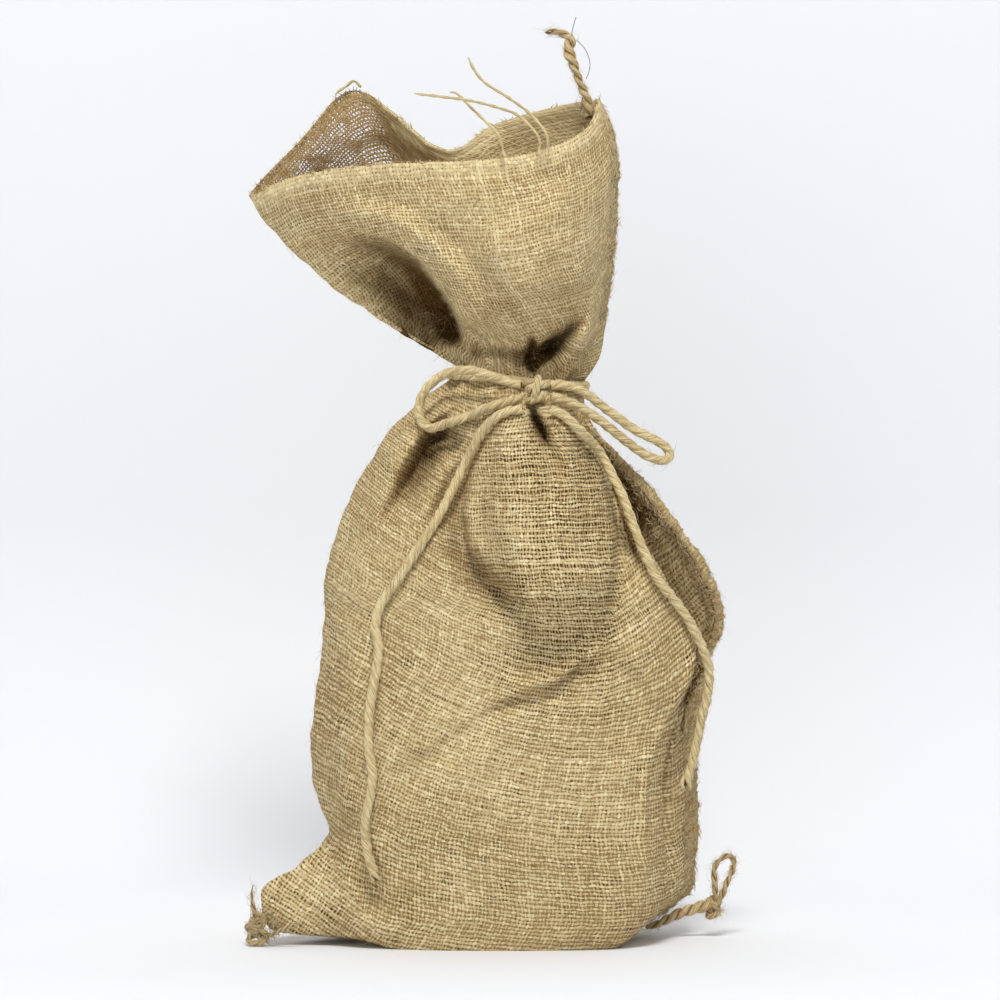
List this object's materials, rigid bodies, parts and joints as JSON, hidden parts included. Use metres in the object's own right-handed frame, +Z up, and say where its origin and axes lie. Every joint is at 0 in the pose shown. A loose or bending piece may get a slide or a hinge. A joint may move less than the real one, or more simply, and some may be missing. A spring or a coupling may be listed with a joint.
{
  "type": "hessian sack",
  "caption": "Small hessian sack standing filled on its flat base, gathered and tied at the neck with a twine bow, its open mouth flopping to one side.",
  "frame": {"origin": "middle of the flat base, on the floor", "axes": "+Z up the sack, -Y towards its front, +X towards its sewn side"},
  "size_m": [0.1976, 0.1197, 0.3667],
  "materials": {
    "hessian": "plain-woven tan jute cloth, open weave, matt",
    "twine": "laid jute twine, slightly hairy, matt",
    "seam_yarn": "jute sewing yarn, matt",
    "loose_yarn": "single jute yarn, matt"
  },
  "bodies": {
    "root": {"sack": "hessian", "twine_loop_left": "twine", "twine_loop_right": "twine", "twine_tail_left": "twine", "twine_tail_right": "twine", "seam_yarn_top": "seam_yarn", "seam_yarn_left": "seam_yarn", "seam_yarn_right": "seam_yarn", "seam_loop_right": "seam_yarn", "loose_yarn_a": "loose_yarn", "loose_yarn_b": "loose_yarn", "loose_yarn_c": "loose_yarn", "loose_yarn_loop": "loose_yarn", "twine_wrap": "twine", "twine_knot": "twine", "seam_knot_left": "seam_yarn", "seam_knot_right": "seam_yarn"}
  },
  "joints": []
}
